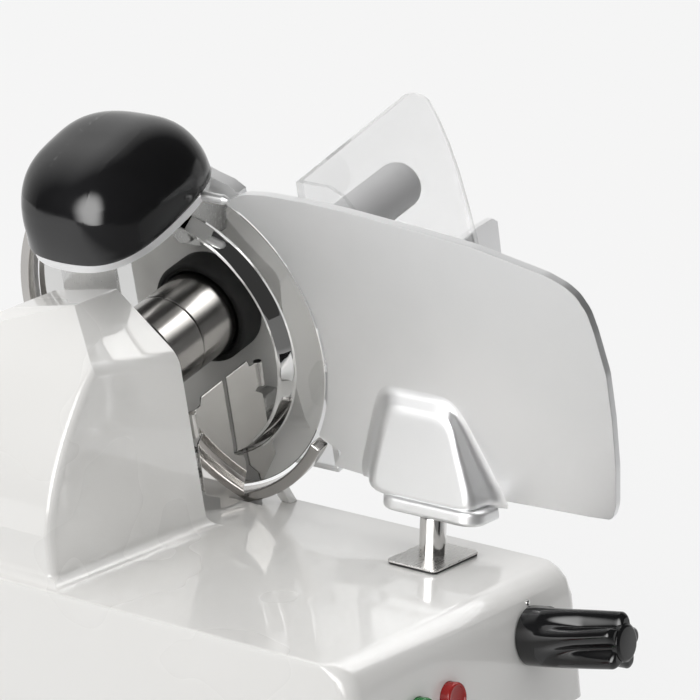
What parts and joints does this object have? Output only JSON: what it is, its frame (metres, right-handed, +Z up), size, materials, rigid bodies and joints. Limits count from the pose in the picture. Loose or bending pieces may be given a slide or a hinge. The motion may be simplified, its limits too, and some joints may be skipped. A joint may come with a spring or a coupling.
{
  "type": "electric food slicer",
  "caption": "Tabletop food slicer with a tilted round blade, sliding food carriage, thickness gauge plate and knob, and a sharpener on top.",
  "frame": {"origin": "on the table under the middle of the whole machine at rest", "axes": "+X towards the food side, +Y towards the rear, +Z up"},
  "size_m": [0.4868, 0.5388, 0.4057],
  "materials": {
    "white_paint": "gloss",
    "polished_steel": "polished",
    "steel": "brushed",
    "satin_aluminium": "satin",
    "black_gloss": "gloss",
    "black_plastic": "matte",
    "grey_plastic": "matte",
    "clear": "clear",
    "black_rubber": "matte",
    "green_plastic": "gloss",
    "red_plastic": "gloss",
    "bronze": "satin",
    "motor_paint": "satin",
    "stone": "matte",
    "white_plastic": "matte"
  },
  "bodies": {
    "base": {"body_casting": "white_paint", "bottom_cover": "steel", "cover_screws": "steel", "feet": "black_rubber", "cable_gland": "black_plastic", "motor_can": "motor_paint", "motor_bracket": "steel", "drive_belt": "black_rubber", "shaft_bearings": "steel", "shaft_seal": "black_rubber", "guard_ring": "satin_aluminium", "guard_column": "white_paint", "deflector": "polished_steel", "deflector_posts": "steel", "gauge_rod": "steel", "index_pin": "polished_steel", "switch_box": "black_plastic", "run_capacitor": "white_plastic", "guide_rod": "steel", "sharpener_base": "satin_aluminium", "sharpener_stay": "steel", "hinge_pin": "steel"},
    "blade_drive": {"blade": "polished_steel", "blade_hub": "polished_steel", "blade_shaft": "steel", "blade_pulley": "satin_aluminium", "blade_screws": "steel"},
    "motor_drive": {"motor_shaft": "steel", "motor_pulley": "satin_aluminium", "motor_fan": "black_plastic"},
    "knob": {"gauge_knob": "black_gloss", "knob_cap": "black_gloss", "cam_shaft": "steel"},
    "gauge": {"gauge_plate": "satin_aluminium", "gauge_post": "polished_steel", "post_cover": "polished_steel", "post_gasket": "black_rubber", "gauge_block": "satin_aluminium", "follower_pin": "steel"},
    "carriage": {"carriage_table": "satin_aluminium", "carriage_wall": "satin_aluminium", "carriage_arm": "satin_aluminium", "slide_block": "satin_aluminium", "slide_bushes": "bronze", "hand_guard": "clear", "guard_screws": "steel", "carriage_handle": "grey_plastic", "handle_bolt": "steel", "pusher_rod": "steel"},
    "pusher_slider": {"pusher_sleeve": "black_plastic"},
    "pusher": {"pusher_plate": "satin_aluminium", "pusher_grip": "black_plastic"},
    "sharpener_lid": {"sharpener_cover": "black_gloss"},
    "edge_stone_button": {"edge_stone_shaft": "steel"},
    "edge_stone_wheel": {"edge_stone": "stone"},
    "burr_stone_button": {"burr_stone_shaft": "steel"},
    "burr_stone_wheel": {"burr_stone": "stone"},
    "start": {"start_button": "green_plastic"},
    "stop": {"stop_button": "red_plastic"}
  },
  "joints": [
    {"name": "blade_spin", "type": "hinge", "parent": "base", "child": "blade_drive", "pos_m": [-0.02439, 0.11439, 0.236], "axis": [0.9622, 0, 0.2723], "continuous": true},
    {"name": "motor_spin", "type": "hinge", "parent": "base", "child": "motor_drive", "pos_m": [0.00284, 0.12239, 0.13978], "axis": [0.9622, 0, 0.2723], "continuous": true},
    {"name": "knob_turn", "type": "hinge", "parent": "base", "child": "knob", "pos_m": [-0.03639, -0.19268, 0.08], "axis": [0, -0.9877, 0.1564], "range_deg": [0, 300]},
    {"name": "gauge_slide", "type": "slide", "parent": "base", "child": "gauge", "axis": [-1, 0, 0], "range_m": [0, 0.012]},
    {"name": "carriage_slide", "type": "slide", "parent": "base", "child": "carriage", "axis": [0, 1, 0], "range_m": [-0.23, 0.018]},
    {"name": "pusher_slide", "type": "slide", "parent": "carriage", "child": "pusher_slider", "axis": [0.9622, 0, 0.2723], "range_m": [-0.143, 0.004]},
    {"name": "pusher_swing", "type": "hinge", "parent": "pusher_slider", "child": "pusher", "pos_m": [0.15861, 0.01839, 0.25037], "axis": [0.9622, 0, 0.2723], "range_deg": [0, 95]},
    {"name": "lid_hinge", "type": "hinge", "parent": "base", "child": "sharpener_lid", "pos_m": [-0.10782, 0.16039, 0.34432], "axis": [-0.9078, 0, -0.4195], "range_deg": [0, 60]},
    {"name": "edge_stone_press", "type": "slide", "parent": "base", "child": "edge_stone_button", "axis": [0.9622, 0, 0.2723], "range_m": [0, 0.002], "stiffness_N_per_m": 800, "springref_m": -0.001},
    {"name": "edge_stone_spin", "type": "hinge", "parent": "edge_stone_button", "child": "edge_stone_wheel", "pos_m": [-0.06776, 0.10639, 0.35987], "axis": [0.9622, 0, 0.2723], "continuous": true},
    {"name": "burr_stone_press", "type": "slide", "parent": "base", "child": "burr_stone_button", "axis": [-0.9622, 0, -0.2723], "range_m": [0, 0.002], "stiffness_N_per_m": 800, "springref_m": -0.001},
    {"name": "burr_stone_spin", "type": "hinge", "parent": "burr_stone_button", "child": "burr_stone_wheel", "pos_m": [-0.05429, 0.10239, 0.36368], "axis": [0.9622, 0, 0.2723], "continuous": true},
    {"name": "start_press", "type": "slide", "parent": "base", "child": "start", "axis": [0, 0.9877, -0.1564], "range_m": [0, 0.003], "stiffness_N_per_m": 800, "springref_m": -0.001},
    {"name": "stop_press", "type": "slide", "parent": "base", "child": "stop", "axis": [0, 0.9877, -0.1564], "range_m": [0, 0.003], "stiffness_N_per_m": 800, "springref_m": -0.001}
  ],
  "couplings": [
    {"joint": "motor_spin", "follows": "blade_spin", "ratio": 2.4706},
    {"joint": "knob_turn", "follows": "gauge_slide", "rad_per_m": 436.33}
  ]
}
